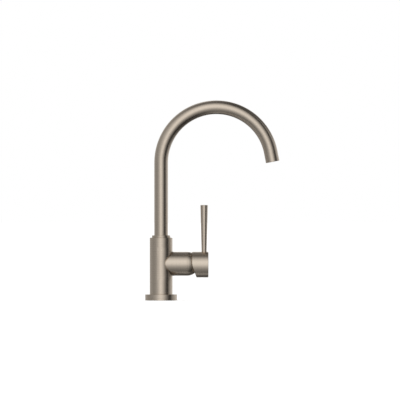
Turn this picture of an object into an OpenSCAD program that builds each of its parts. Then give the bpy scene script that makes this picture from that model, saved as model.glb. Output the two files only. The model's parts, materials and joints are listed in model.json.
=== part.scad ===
// Single-lever bar tap with a swivelling gooseneck spout.
// Millimetres, +Z up. The origin is on the body's axis, at the deck's upper face.
// +X points along the valve branch, which is also where the spout points at rest.

/* [Base and deck fixing] */
// Diameter of the base ring
base_d = 56; // [52:1:70]
// Height of the base ring
base_h = 10.5; // [9:0.5:14]
// Depth that the body sits into the base ring
base_seat = 3; // [2:0.5:4]
// Thickness of the deck that the tap is clamped to
deck_t = 20; // [8:1:40]
// Outside diameter of the mounting shank
shank_d = 32; // [30:0.5:33]
// Wall of the shank round the way for the two hoses
shank_wall = 2.5; // [2:0.1:3]
// Length of shank screwed into the body
shank_grip = 14; // [10:1:16]
// Bare thread left below the lock nut
shank_tail = 12; // [6:1:30]
// Thickness of the rubber gasket under the deck
deck_gasket_t = 3; // [2:0.5:5]
// Thickness of the clamp washer
clamp_t = 2; // [1.5:0.5:4]
// Diameter of the clamp washer and the deck gasket
clamp_d = 54; // [50:1:70]
// Lock nut, across flats
nut_af = 41; // [39:1:50]
// Lock nut height
nut_h = 8; // [5:1:14]

/* [Body] */
// Diameter of the body column
body_d = 40; // [39:0.5:46]
// Height of the body's top face above the branch's axis
body_rise = 45.5; // [42:0.5:80]
// Thread diameter of a supply inlet
inlet_d = 9; // [7:0.5:9]
// Depth of a supply inlet's thread
inlet_depth = 12; // [8:1:16]
// Diameter of the supply risers inside the body
riser_d = 6.4; // [5:0.2:6.8]
// Bevel on the machined outer edges
edge = 0.6; // [0.3:0.1:1]

/* [Valve branch] */
// Height of the branch's axis above the deck
branch_z = 64; // [62:0.5:68]
// Bore for the 35 mm cartridge
chamber_d = 35.4; // [35.2:0.1:35.8]
// Step from that bore out to the retaining nut's thread
bonnet_step = 1.3; // [1.1:0.1:1.5]
// Wall of the branch round that thread
branch_wall = 2; // [1.5:0.1:3.5]
// Step from the column's surface out to where the full branch begins
saddle_step = 1.9; // [1.5:0.1:3]
// Depth that the cartridge's bore sinks into the column
seat_sink = 1.5; // [1:0.1:2]
// Thickness of the dome cap
dome_wall = 1.5; // [1.2:0.1:1.8]
// Radial gap between the dome cap's opening and the turning neck
neck_gap = 0.7; // [0.5:0.1:1]

/* [Handle] */
// Wall of the handle hood where it is thinnest, at the top of its rim
hood_wall = 1.2; // [1:0.1:3]
// Distance that the hood's axis lies below the branch's
hood_drop = 1.5; // [0.5:0.1:1.7]
// Distance from the end of the branch to the hood's rim
hood_gap = 8.4; // [8:0.2:9]
// Length of the hood along the branch's axis
hood_len = 28.7; // [28:0.1:34]
// Gap between the dome cap and the inside of the hood
dome_gap = 0.55; // [0.4:0.05:0.8]
// Slant of the lower half of the rim, from upright
rim_slant = 19.5; // [15:0.5:24]
// Distance below the branch's axis at which the slant begins
rim_start = 2; // [1:0.5:5]
// Distance from the hood's end to the lever's axis
lever_inset = 7.6; // [7:0.1:9]
// Height of the lever's top above the branch's axis
lever_rise = 102.4; // [80:0.1:130]
// Diameter of the lever at its top
lever_tip_d = 13; // [8:0.1:14]
// Diameter of the lever where it enters the hood
lever_root_d = 9; // [7:0.1:10]
// Thread diameter of the lever's stud
stud_d = 6; // [5:0.5:6]
// Width across the square valve stem
stem_w = 8; // [7:0.5:8]
// Set screw diameter
screw_d = 5; // [4:0.5:6]
// Set screw length
screw_len = 8; // [6:1:10]

/* [Cartridge] */
// Distance from the pivot to the middle of the stem's ball end
ball_arm = 12; // [11.5:0.1:12]
// Radius of the ball end
ball_r = 2.2; // [2:0.1:2.3]
// Diameter of the cross pin
pin_d = 3; // [2:0.5:3.5]
// Thickness of the cartridge base
cart_base_t = 3.5; // [3:0.1:3.6]
// Thickness of the fixed ceramic disc
fixed_disc_t = 3.5; // [3:0.1:3.6]
// Thickness of the moving ceramic disc
moving_disc_t = 3.5; // [3:0.1:3.6]
// Diameter of the fixed ceramic disc
fixed_disc_d = 26; // [25:0.5:28]
// Diameter of the moving ceramic disc
moving_disc_d = 20.8; // [20:0.1:21]
// Distance between the two supply ports
port_pitch = 13; // [12.4:0.2:13.4]
// Height of the supply ports above the cartridge's axis
port_rise = 3; // [2.8:0.1:3.2]
// Distance of the mixed port below the cartridge's axis
port_drop = 4; // [3.8:0.1:4.4]
// Diameter of the ports through the discs
port_d = 5.2; // [4:0.1:5.4]
// Largest flow angle of the lever
lift_max = 24; // [20:1:24]

/* [Spout] */
// Outside diameter of the spout tube
tube_d = 24; // [22:0.5:26]
// Wall thickness of the spout tube
tube_wall = 1.2; // [1:0.1:1.6]
// Radius of the gooseneck, to the tube's middle
bend_r = 96.5; // [80:0.5:130]
// Height of the gooseneck's centre above the deck
bend_z = 240.5; // [200:0.5:300]
// Angle above level at which the bend ends
bend_end = 11; // [0:1:40]
// Length of the straight tail after the bend
tail_len = 17.5; // [16:0.5:50]
// Step from the collar nut's thread out to its visible rim
collar_lip = 1.65; // [0.8:0.05:3]
// Height of the collar nut above the body
collar_h = 4; // [3:0.5:12]
// Wall of the collar nut's threaded skirt
gland_wall = 2.2; // [2:0.1:3]
// Depth of the threaded gland in the body's top
gland_depth = 12.5; // [11:0.5:14]
// Depth of the spout socket below the gland
socket_depth = 17; // [15:0.5:17]
// Step from the tube's surface in to the spout stub's
stub_step = 1.35; // [1.2:0.05:2]
// Wall of the spout stub
stub_wall = 3.15; // [2.8:0.05:5]
// Thickness of the stub's flange
flange_t = 3; // [2:0.5:4]
// Thickness of a slip washer
slip_t = 1; // [0.8:0.1:1.5]
// Section diameter of a spout O-ring
oring_d = 1.5; // [1.2:0.1:1.8]
// Depth that the aerator is recessed in the tube's mouth
mouth_recess = 0.8; // [0.5:0.1:3]

/* [Fits] */
// Radial clearance of a running fit
run_fit = 0.05; // [0.02:0.01:0.08]
// Radial gap between pieces that pass each other loosely
slack = 0.3; // [0.25:0.05:0.35]
// Clearance between pieces that are screwed or pushed together
seat_fit = 0.05; // [0.02:0.01:0.1]

/* [Hidden] */
$fn = 96;

// deck fixing, downwards from the deck's upper face
gasket_w = 4;
gasket_t = 1.5;
gasket_inset = 2.5;
body_foot = base_h - base_seat;
seam_z = 3.2;
seam_w = 0.4;
seam_deep = 0.35;
body_seal_w = 1.8;
body_seal_t = 1.2;
body_seal_d = (body_d + shank_d) / 2;
deck_gasket_z = -deck_t - deck_gasket_t;
clamp_z = deck_gasket_z - clamp_t;
nut_z = clamp_z - nut_h;
shank_foot = nut_z - shank_tail;
shank_bore = shank_d - 2 * shank_wall;
shank_top = body_foot + shank_grip;

// body and its water ways
body_top = branch_z + body_rise;
inlet_margin = 0.5;
inlet_pitch = shank_bore - inlet_d - 2 * inlet_margin;
inlet_top = shank_top + inlet_depth;
run_d = port_d + 0.8;
run_z = branch_z + port_rise;
outlet_d = port_d + 1.8;
outlet_z = branch_z - port_drop;
saddle_r = body_d / 2 + saddle_step;
root_sink = 0.8;
root_d = body_d - 2 * root_sink;

// cartridge, outwards from its seat along the branch
seat_x = body_d / 2 - seat_sink;
seal_stand = 0.3;
seal_t = 1.6;
seal_w = 1.9;
peg_d = 3;
peg_len = 2.5;
peg_across = 12;
peg_rise = 7;
cart_d = chamber_d - 2 * slack;
cart_wall = 1.5;
cart_bore = cart_d - 2 * cart_wall;
base_x = seat_x + seal_stand;
fixed_x = base_x + cart_base_t;
face_gap = 0.05;
moving_x = fixed_x + fixed_disc_t + face_gap;
driver_x = moving_x + moving_disc_t;
rim_h = 2;
rim_w = 1.6;
ball_depth = 4.15;
ball_x = driver_x + ball_depth;
ball_cover = 2.8;
driver_end = ball_x + ball_cover;
pivot_x = ball_x + ball_arm;
branch_end = pivot_x;
guide_w = 16;
channel_x = driver_end + slack;
carrier_d = cart_bore - 4 * slack;
carrier_x = driver_x + 1.5 * slack;
lip_t = 2;
lip_w = 3.1;
bonnet_t = 4;
lip_x = branch_end - bonnet_t - lip_t;
shoulder_x = lip_x - 2 * run_fit;
neck_d = cart_bore - 2 * lip_w;
neck_end = pivot_x + 4.5;
bonnet_x = lip_x + lip_t;
bonnet_d = chamber_d + 2 * bonnet_step;
bonnet_bore = neck_d + 1.6;
bonnet_rise = 4;
bonnet_grip_d = chamber_d - 0.4;
notch_d = 4;
hub_wall = 3.3;
hub_d = pin_d + 2 * hub_wall;

// dome and handle
branch_d = bonnet_d + 2 * branch_wall;
dome_r = branch_d / 2;
dome_mouth_r = neck_d / 2 + neck_gap;
skirt_h = 3;
hood_x = branch_end + hood_gap;
hood_floor = pivot_x + dome_r + dome_gap;
hood_bore_r = sqrt(pow(dome_r + dome_gap, 2) - pow(hood_gap, 2));
hood_d = 2 * (hood_bore_r + hood_drop + hood_wall);
hood_top = branch_z - hood_drop + hood_d / 2;
hood_bottom = branch_z - hood_drop - hood_d / 2;
stem_reach = 9.5;
stem_end = hood_floor + stem_reach;
socket_end = stem_end + 1;
lever_x = hood_x + hood_len - lever_inset;
lever_seat = 2.5;
stud_len = 9;
lever_top = branch_z + lever_rise;
screw_x = hood_floor + stem_reach / 2;
screw_z = branch_z - stem_w / 2 - seat_fit;
plug_h = 3;
plug_lip = 0.8;

// spout, upwards from the socket
play = 0.05;
gland_floor = body_top - gland_depth;
socket_floor = gland_floor - socket_depth;
flange_z = gland_floor + slip_t + play;
tube_foot = flange_z + flange_t;
upper_slip_z = tube_foot + play;
collar_foot = upper_slip_z + slip_t;
collar_bore = tube_d + 2 * slack;
gland_d = collar_bore + 2 * gland_wall;
collar_d = gland_d + 2 * collar_lip;
stub_d = tube_d - 2 * stub_step;
stub_bore = stub_d - 2 * stub_wall;
outlet_margin = 0.2;
outlet_x = (outlet_d - stub_d) / 2 + outlet_margin;
flange_d = gland_d - 2 * slack;
slip_d = gland_d - 4 * run_fit;
stub_foot = socket_floor + 2;
oring_step = 5;
spigot_h = 11;
tube_bore = tube_d - 2 * tube_wall;
tail_swage = 0.02;
tail_lap = 0.5;

// outlet, measured inwards from the tube's mouth
sleeve_len = 14;
sleeve_wall = 1.6;
sleeve_d = tube_bore - 2 * tail_swage - 2 * seat_fit;
sleeve_bore = sleeve_d - 2 * sleeve_wall;
washer_seat = 1.5;
aerator_d = sleeve_bore - 2 * seat_fit;
aerator_wall = 1.2;
aerator_bore = aerator_d - 2 * aerator_wall;
aerator_washer_t = 1.4;
aerator_in = mouth_recess + sleeve_len - washer_seat - aerator_washer_t;
aerator_out = mouth_recess + 0.4;
diffuser_t = 1.6;
ledge_w = 1;
ledge_t = 0.8;
screen_t = 0.5;
screen_depth = 5.2;
screen_in = mouth_recess + screen_depth;

nickel = [0.71, 0.65, 0.58];
brass = [0.78, 0.62, 0.3];
steel = [0.7, 0.7, 0.71];
rubber = [0.12, 0.12, 0.12];
plastic = [0.85, 0.85, 0.82];
ceramic = [0.93, 0.92, 0.88];

// Moves its children to x on the branch's axis: their +Z points along +X, their +X
// across the body along +Y, and their +Y up.
module on_branch(x) {
    translate([x, 0, branch_z]) rotate([90, 0, 90]) children();
}

// Moves its children to the end of the bend, their +Z running on out of the tube.
module at_bend_end() {
    translate([bend_r + bend_r * cos(bend_end), 0, bend_z + bend_r * sin(bend_end)])
        rotate([0, 180 - bend_end, 0]) children();
}

// Moves its children to a depth inside the tube's mouth, their +Z pointing out.
module in_mouth(depth) {
    at_bend_end() translate([0, 0, tail_len - depth]) children();
}

// Round bar with a bevel on its upper edge.
module bevelled(d, h, bevel) {
    cylinder(d = d, h = h - bevel);
    translate([0, 0, h - bevel]) cylinder(d1 = d, d2 = d - 2 * bevel, h = bevel);
}

module tube_ring(d, bore, h) {
    difference() {
        cylinder(d = d, h = h);
        translate([0, 0, -1]) cylinder(d = bore, h = h + 2);
    }
}

// Upright plate of an outline in X and Z, centred on Y = 0.
module side_plate(points, w) {
    rotate([90, 0, 0]) linear_extrude(height = w, center = true) polygon(points);
}

module o_ring(outer_d, section_d) {
    rotate_extrude() translate([(outer_d - section_d) / 2, 0]) circle(d = section_d);
}

// ---- deck fixing ----

module base_ring() color(nickel) difference() {
    bevelled(base_d, base_h, edge);
    translate([0, 0, -1]) cylinder(d = shank_d + 2 * slack, h = base_h + 2);
    translate([0, 0, body_foot]) cylinder(d = body_d + 4 * seat_fit, h = base_seat + 1);
    translate([0, 0, -1])
        tube_ring(base_d - 2 * gasket_inset, base_d - 2 * (gasket_inset + gasket_w),
                  gasket_t + 1);
    translate([0, 0, seam_z]) tube_ring(base_d + 2, base_d - 2 * seam_deep, seam_w);
    translate([0, 0, body_foot - body_seal_t])
        tube_ring(body_seal_d + body_seal_w, body_seal_d - body_seal_w, body_seal_t + 1);
}

module base_gasket() color(rubber)
    tube_ring(base_d - 2 * (gasket_inset + seat_fit),
              base_d - 2 * (gasket_inset + gasket_w - seat_fit), gasket_t);

module body_seal() color(rubber)
    translate([0, 0, body_foot - body_seal_t])
        tube_ring(body_seal_d + body_seal_w - 2 * seat_fit,
                  body_seal_d - body_seal_w + 2 * seat_fit, body_seal_t);

module mounting_shank() color(brass)
    translate([0, 0, shank_foot]) tube_ring(shank_d, shank_bore, shank_top - shank_foot);

module deck_gasket() color(rubber)
    translate([0, 0, deck_gasket_z])
        tube_ring(clamp_d, shank_d + 4 * slack, deck_gasket_t);

module clamp_washer() color(steel)
    translate([0, 0, clamp_z]) tube_ring(clamp_d, shank_d + 2 * slack, clamp_t);

module lock_nut() color(brass)
    translate([0, 0, nut_z]) difference() {
        cylinder(d = nut_af / cos(30), h = nut_h, $fn = 6);
        translate([0, 0, -1]) cylinder(d = shank_d + 2 * seat_fit, h = nut_h + 2);
    }

// ---- body ----

// One casting: the column, and the branch that holds the valve. Near the column the
// branch narrows to a root, which leaves the saddle line between the two.
module valve_body() color(nickel) difference() {
    union() {
        translate([0, 0, body_foot]) bevelled(body_d, body_top - body_foot, edge);
        on_branch(0) cylinder(d = root_d, h = saddle_r + 2);
        difference() {
            on_branch(0) cylinder(d = branch_d, h = branch_end);
            translate([0, 0, branch_z - branch_d])
                cylinder(r = saddle_r, h = 2 * branch_d);
        }
    }
    translate([0, 0, body_foot - 1])
        cylinder(d = shank_d + 2 * seat_fit, h = shank_grip + 1);
    supply_ways();
    outlet_way();
    translate([0, 0, socket_floor]) cylinder(d = stub_d + 2 * run_fit, h = socket_depth + 1);
    translate([0, 0, gland_floor]) cylinder(d = gland_d + 2 * seat_fit, h = gland_depth + 1);
    on_branch(seat_x) cylinder(d = chamber_d, h = branch_end);
    on_branch(lip_x) cylinder(d = bonnet_d, h = branch_end);
    on_branch(seat_x - peg_len) pegs(peg_d + 4 * seat_fit, peg_len + 1);
}

// Threaded inlet, riser and level run for the hot and the cold supply.
module supply_ways() {
    for (side = [-1, 1]) {
        translate([0, side * inlet_pitch / 2, shank_top - 1])
            cylinder(d = inlet_d, h = inlet_depth + 1);
        translate([0, side * inlet_pitch / 2, inlet_top - 1])
            cylinder(d = riser_d, h = run_z + run_d / 2 - inlet_top + 1);
        on_branch(0) translate([side * port_pitch / 2, port_rise, 0])
            cylinder(d = run_d, h = seat_x + 1);
    }
}

// Mixed water runs back behind the two risers and up to the spout's socket.
module outlet_way() {
    on_branch(outlet_x) translate([0, -port_drop, 0])
        cylinder(d = outlet_d, h = seat_x - outlet_x + 1);
    translate([outlet_x, 0, outlet_z])
        cylinder(d = outlet_d, h = socket_floor - outlet_z + 1);
}

module pegs(d, len) {
    for (side = [-1, 1]) translate([side * peg_across, peg_rise, 0]) cylinder(d = d, h = len);
}

// ---- cartridge, fixed pieces ----

module port_seal(across, up) color(rubber)
    on_branch(seat_x) translate([across, up, 0])
        tube_ring(port_d + 2 * seal_w, port_d, seal_t);

module hot_port_seal() port_seal(port_pitch / 2, port_rise);

module cold_port_seal() port_seal(-port_pitch / 2, port_rise);

module mixed_port_seal() port_seal(0, -port_drop);

// The three ports, seen along the branch.
module ports(d, h) {
    for (side = [-1, 1])
        translate([side * port_pitch / 2, port_rise, 0]) cylinder(d = d, h = h);
    translate([0, -port_drop, 0]) cylinder(d = d, h = h);
}

module cartridge_base() color(plastic) {
    on_branch(base_x) difference() {
        union() {
            cylinder(d = cart_d, h = cart_base_t);
            tube_ring(fixed_disc_d + 4 * seat_fit + 2 * rim_w,
                      fixed_disc_d + 4 * seat_fit, cart_base_t + rim_h);
            translate([0, 0, -peg_len]) pegs(peg_d, peg_len + 1);
        }
        translate([0, 0, -1]) ports(port_d, cart_base_t + 2);
        translate([0, 0, -1]) ports(port_d + 2 * (seal_w + seat_fit), 1 + seal_t - seal_stand);
    }
}

module fixed_disc() color(ceramic)
    on_branch(fixed_x) difference() {
        cylinder(d = fixed_disc_d, h = fixed_disc_t);
        translate([0, 0, -1]) ports(port_d, fixed_disc_t + 2);
    }

module cartridge_housing() color(plastic)
    on_branch(fixed_x) difference() {
        cylinder(d = cart_d, h = lip_x + lip_t - fixed_x);
        translate([0, 0, -1]) cylinder(d = cart_bore, h = lip_x - fixed_x + 1);
        cylinder(d = neck_d + 4 * run_fit, h = branch_end);
    }

module retaining_nut() color(brass)
    on_branch(bonnet_x) difference() {
        union() {
            cylinder(d = bonnet_d - 2 * seat_fit, h = branch_end - bonnet_x);
            cylinder(d = bonnet_grip_d, h = branch_end - bonnet_x + bonnet_rise);
        }
        translate([0, 0, -1]) cylinder(d = bonnet_bore, h = branch_end);
        for (turn = [0:60:300])
            rotate([0, 0, turn]) translate([bonnet_grip_d / 2, 0, branch_end - bonnet_x + 1.5])
                cylinder(d = notch_d, h = bonnet_rise);
    }

// Domed cover, turned as a shell round the pivot and screwed on the retaining nut.
module dome_cap() color(nickel)
    difference() {
        union() {
            difference() {
                on_branch(pivot_x) sphere(r = dome_r);
                on_branch(pivot_x) sphere(r = dome_r - dome_wall);
            }
            on_branch(branch_end)
                tube_ring(branch_d - dome_wall, bonnet_grip_d + 4 * seat_fit, skirt_h);
        }
        on_branch(branch_end - branch_d) cylinder(d = 2 * branch_d, h = branch_d);
        on_branch(branch_end) cylinder(r = dome_mouth_r, h = branch_d);
    }

// ---- temperature body: turns about the branch's axis ----

// Turned plastic piece: two guides for the disc driver, a shoulder under the
// housing's lip, and a neck that is slotted for the stem and drilled for its pin.
module stem_carrier() color(plastic)
    difference() {
        union() {
            on_branch(carrier_x) cylinder(d = carrier_d, h = shoulder_x - carrier_x);
            on_branch(carrier_x) cylinder(d = neck_d, h = neck_end - carrier_x);
        }
        translate([carrier_x - 1, -guide_w / 2 - slack, branch_z - carrier_d])
            cube([channel_x - carrier_x + 1, guide_w + 2 * slack, 2 * carrier_d]);
        stem_slot();
        on_branch(pivot_x) rotate([0, 90, 0])
            cylinder(d = pin_d, h = neck_d + 2, center = true);
    }

// Space that the stem sweeps inside the carrier, from closed to fully lifted.
module stem_slot() {
    reach_out = neck_end + 1 - pivot_x;
    reach_in = pivot_x - channel_x + 1;
    side = stem_w / 2 + slack;
    thin = ball_r + slack;
    translate([pivot_x, 0, branch_z]) {
        rotate([90, 0, 0]) cylinder(d = hub_d + 2 * slack, h = 2 * side, center = true);
        side_plate([[0, side], [reach_out, side],
                    [reach_out, -reach_out * tan(lift_max) - side / cos(lift_max)],
                    [0, -side / cos(lift_max)]], 2 * side);
        side_plate([[0, -thin], [0, thin / cos(lift_max)],
                    [-reach_in, reach_in * tan(lift_max) + thin / cos(lift_max)],
                    [-reach_in, -thin]], 2 * thin);
    }
}

module pivot_pin() color(steel)
    on_branch(pivot_x) rotate([0, 90, 0])
        cylinder(d = pin_d - 2 * run_fit, h = neck_d - 1, center = true);

// ---- disc body: pushed across the fixed disc ----

module moving_disc() color(ceramic)
    on_branch(moving_x) difference() {
        cylinder(d = moving_disc_d, h = moving_disc_t);
        mixing_recess();
    }

// Pocket in the moving disc that joins the supply ports to the mixed port.
module mixing_recess() {
    upper_edge = port_rise - port_d / 2 - 1.2;
    depth = 2;
    difference() {
        translate([0, 0, -1]) cylinder(d = moving_disc_d - 3.6, h = depth + 1);
        translate([-moving_disc_d, upper_edge, -2])
            cube([2 * moving_disc_d, moving_disc_d, depth + 4]);
    }
}

module disc_driver() color(plastic)
    difference() {
        intersection() {
            on_branch(driver_x) cylinder(d = moving_disc_d, h = driver_end - driver_x);
            translate([driver_x - 1, -guide_w / 2, branch_z - moving_disc_d])
                cube([driver_end - driver_x + 2, guide_w, 2 * moving_disc_d]);
        }
        translate([ball_x, 0, branch_z]) ball_slot();
    }

// Slot that holds the ball end and widens downwards for the leaning neck.
module ball_slot() {
    half = ball_r + 0.15;
    floor_x = -ball_r - 0.4;
    mouth_x = driver_end - ball_x + 1;
    side_plate([[floor_x, -half], [0.5, -half], [mouth_x, -half - 1.3],
                [mouth_x, half + 0.15], [floor_x, half + 0.15]], 2 * half);
}

// ---- handle body: tips about the pivot pin ----

module valve_stem() color(brass)
    difference() {
        union() {
            translate([pivot_x, 0, branch_z]) rotate([90, 0, 0])
                cylinder(d = hub_d, h = stem_w, center = true);
            translate([pivot_x, -stem_w / 2, branch_z - stem_w / 2])
                cube([stem_end - pivot_x, stem_w, stem_w]);
            on_branch(ball_x) cylinder(r = ball_r - 0.3, h = ball_arm);
            on_branch(ball_x) sphere(r = ball_r);
        }
        translate([pivot_x, 0, branch_z]) rotate([90, 0, 0])
            cylinder(d = pin_d, h = stem_w + 2, center = true);
    }

// Cast cup with a solid end. The upper half of its rim is upright, and the lower
// half is cut back on a slant so that it can swing in under the dome.
module handle_hood() color(nickel)
    difference() {
        translate([0, 0, -hood_drop]) on_branch(hood_x) bevelled(hood_d, hood_len, edge);
        on_branch(hood_x - 1) cylinder(r = hood_bore_r, h = hood_floor - hood_x + 1);
        rim_cut();
        translate([hood_floor - 1, -stem_w / 2 - seat_fit, screw_z])
            cube([socket_end - hood_floor + 1, stem_w + 2 * seat_fit,
                  stem_w + 2 * seat_fit]);
        translate([lever_x, 0, hood_top - lever_seat])
            cylinder(d = lever_root_d + 2 * seat_fit, h = lever_seat + 1);
        translate([lever_x, 0, hood_top - lever_seat - stud_len - 1])
            cylinder(d = stud_d + 2 * seat_fit, h = stud_len + 2);
        translate([screw_x, 0, hood_bottom - 1])
            cylinder(d = screw_d + 2 * seat_fit, h = screw_z - hood_bottom + 1.5);
    }

module rim_cut() {
    low = hood_d;
    side_plate([[hood_x - 1, branch_z - rim_start],
                [hood_x, branch_z - rim_start],
                [hood_x + low * tan(rim_slant), branch_z - rim_start - low],
                [hood_x - 1, branch_z - rim_start - low]], 2 * hood_d);
}

// Turned pin, widest at its flat top, with a stud at its foot.
module lever_pin() color(nickel)
    translate([lever_x, 0, 0]) {
        translate([0, 0, hood_top - lever_seat - stud_len])
            cylinder(d = stud_d, h = stud_len + 1);
        translate([0, 0, hood_top - lever_seat])
            cylinder(d = lever_root_d, h = lever_seat);
        translate([0, 0, hood_top])
            cylinder(d1 = lever_root_d, d2 = lever_tip_d, h = lever_top - hood_top - edge);
        translate([0, 0, lever_top - edge])
            cylinder(d1 = lever_tip_d, d2 = lever_tip_d - 2 * edge, h = edge);
    }

module set_screw() color(steel)
    translate([screw_x, 0, screw_z - screw_len + seat_fit]) difference() {
        cylinder(d = screw_d, h = screw_len);
        translate([0, 0, -1]) cylinder(d = screw_d / 2, h = screw_len / 2 + 1, $fn = 6);
    }

module screw_plug() color(plastic)
    translate([screw_x, 0, hood_bottom + plug_lip])
        cylinder(d = screw_d, h = plug_h);

// ---- spout ----

// Gland nut: the visible collar, with a threaded skirt that holds the spout down.
module collar_nut() color(nickel) difference() {
    union() {
        translate([0, 0, collar_foot]) cylinder(d = gland_d, h = body_top - collar_foot + 1);
        translate([0, 0, body_top]) bevelled(collar_d, collar_h, edge);
    }
    translate([0, 0, collar_foot - 1]) cylinder(d = collar_bore, h = gland_depth + collar_h);
}

module lower_slip_washer() color(plastic)
    translate([0, 0, gland_floor]) tube_ring(slip_d, stub_d + 2 * slack, slip_t);

module upper_slip_washer() color(plastic)
    translate([0, 0, upper_slip_z]) tube_ring(slip_d, collar_bore, slip_t);

module spout_stub() color(brass) difference() {
    union() {
        translate([0, 0, stub_foot]) cylinder(d = stub_d, h = flange_z - stub_foot + 1);
        translate([0, 0, flange_z]) cylinder(d = flange_d, h = flange_t);
        translate([0, 0, flange_z])
            cylinder(d = tube_bore - 2 * seat_fit, h = flange_t + spigot_h);
    }
    translate([0, 0, stub_foot - 1])
        cylinder(d = stub_bore, h = tube_foot + spigot_h - stub_foot + 2);
    for (i = [1, 2])
        translate([0, 0, stub_foot + i * oring_step - oring_d / 2 - seat_fit])
            tube_ring(stub_d + 2, stub_d - 2 * (oring_d + seat_fit), oring_d + 2 * seat_fit);
}

module spout_o_ring(i) color(rubber)
    translate([0, 0, stub_foot + i * oring_step]) o_ring(stub_d, oring_d);

module lower_spout_o_ring() spout_o_ring(1);

module upper_spout_o_ring() spout_o_ring(2);

// One tube: straight riser, bend, and a straight tail that is swaged a hair thicker
// than the bend and laps it.
module spout_tube() color(nickel) {
    $fn = 72;
    translate([0, 0, tube_foot]) tube_ring(tube_d, tube_bore, bend_z - tube_foot);
    translate([bend_r, 0, bend_z]) rotate([-90, 0, 0]) rotate([0, 0, 180])
        rotate_extrude(angle = 180 - bend_end) translate([bend_r, 0]) difference() {
            circle(d = tube_d);
            circle(d = tube_bore);
        }
    at_bend_end() translate([0, 0, -tail_lap])
        tube_ring(tube_d + 2 * tail_swage, tube_bore - 2 * tail_swage, tail_len + tail_lap);
}

module outlet_sleeve() color(brass)
    in_mouth(mouth_recess + sleeve_len) difference() {
        cylinder(d = sleeve_d, h = sleeve_len);
        translate([0, 0, washer_seat]) cylinder(d = sleeve_bore, h = sleeve_len);
        translate([0, 0, -1]) cylinder(d = sleeve_bore - 4, h = sleeve_len);
    }

module aerator_washer() color(rubber)
    in_mouth(aerator_in + aerator_washer_t)
        tube_ring(aerator_d, sleeve_bore - 4, aerator_washer_t);

// Cup that screws into the sleeve, with a cross of ribs over its mouth.
module aerator_housing() color(plastic)
    in_mouth(aerator_in) {
        len = aerator_in - aerator_out;
        tube_ring(aerator_d, aerator_bore, len);
        translate([0, 0, diffuser_t])
            tube_ring(aerator_d, aerator_bore - 2 * ledge_w, ledge_t);
        translate([0, 0, aerator_in - screen_in - ledge_t])
            tube_ring(aerator_d, aerator_bore - 2 * ledge_w, ledge_t);
        for (turn = [0, 60, 120])
            rotate([0, 0, turn]) translate([-aerator_bore / 2 - 0.5, -0.5, len - ledge_t])
                cube([aerator_bore + 1, 1, ledge_t]);
    }

module diffuser_disc() color(plastic)
    in_mouth(aerator_in) difference() {
        cylinder(d = aerator_bore - 4 * seat_fit, h = diffuser_t);
        for (turn = [0:30:330])
            rotate([0, 0, turn]) translate([aerator_bore * 0.32, 0, -1])
                cylinder(d = 1.4, h = diffuser_t + 2);
    }

module aerator_screen() color(steel)
    in_mouth(screen_in) difference() {
        pitch = 2.2;
        hole = 1.6;
        cylinder(d = aerator_bore - 4 * seat_fit, h = screen_t);
        for (i = [-3:3], j = [-3:3])
            if (norm([i, j]) * pitch + hole < aerator_bore / 2)
                translate([i * pitch - hole / 2, j * pitch - hole / 2, -1])
                    cube([hole, hole, screen_t + 2]);
    }

base_ring();
base_gasket();
body_seal();
valve_body();
mounting_shank();
deck_gasket();
clamp_washer();
lock_nut();
hot_port_seal();
cold_port_seal();
mixed_port_seal();
cartridge_base();
fixed_disc();
cartridge_housing();
retaining_nut();
dome_cap();
collar_nut();
lower_slip_washer();
upper_slip_washer();
stem_carrier();
pivot_pin();
moving_disc();
disc_driver();
valve_stem();
handle_hood();
lever_pin();
set_screw();
screw_plug();
spout_stub();
lower_spout_o_ring();
upper_spout_o_ring();
spout_tube();
outlet_sleeve();
aerator_washer();
aerator_housing();
diffuser_disc();
aerator_screen();
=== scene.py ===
import json
import math

import bmesh
import bpy
from mathutils import Matrix, Vector

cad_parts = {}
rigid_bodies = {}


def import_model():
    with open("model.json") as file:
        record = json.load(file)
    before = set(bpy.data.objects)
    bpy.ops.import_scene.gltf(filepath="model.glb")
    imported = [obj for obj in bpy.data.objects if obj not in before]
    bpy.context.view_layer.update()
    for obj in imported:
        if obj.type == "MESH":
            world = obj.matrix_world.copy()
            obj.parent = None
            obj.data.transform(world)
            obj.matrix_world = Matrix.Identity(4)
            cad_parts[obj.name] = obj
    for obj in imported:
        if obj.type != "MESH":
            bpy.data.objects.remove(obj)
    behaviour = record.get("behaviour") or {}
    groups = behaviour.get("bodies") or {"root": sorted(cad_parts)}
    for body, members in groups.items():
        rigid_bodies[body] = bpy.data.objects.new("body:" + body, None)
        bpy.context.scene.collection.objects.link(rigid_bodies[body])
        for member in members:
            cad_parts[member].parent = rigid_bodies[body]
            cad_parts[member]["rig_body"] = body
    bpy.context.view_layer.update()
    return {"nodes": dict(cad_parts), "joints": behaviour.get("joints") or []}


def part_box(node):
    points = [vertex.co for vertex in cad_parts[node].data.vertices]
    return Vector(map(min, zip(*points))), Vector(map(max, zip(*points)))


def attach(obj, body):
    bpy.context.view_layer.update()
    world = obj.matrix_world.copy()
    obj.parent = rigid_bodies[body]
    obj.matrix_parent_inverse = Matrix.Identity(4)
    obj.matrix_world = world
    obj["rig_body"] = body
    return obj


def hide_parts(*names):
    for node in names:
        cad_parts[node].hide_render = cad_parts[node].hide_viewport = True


# Single-lever bar tap with a swivelling gooseneck, brushed in champagne nickel.
# Metres, in the frame's own axes: +Z up the body, +X along the valve branch.
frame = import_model()
scene = bpy.context.scene
joint = {entry["name"]: entry for entry in frame["joints"]}

mm = 0.001
pivot = Vector(joint["handle_lift"]["pos_m"])
branch_z = pivot.z
east = Vector((1, 0, 0))
north = Vector((0, 1, 0))
up = Vector((0, 0, 1))


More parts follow.
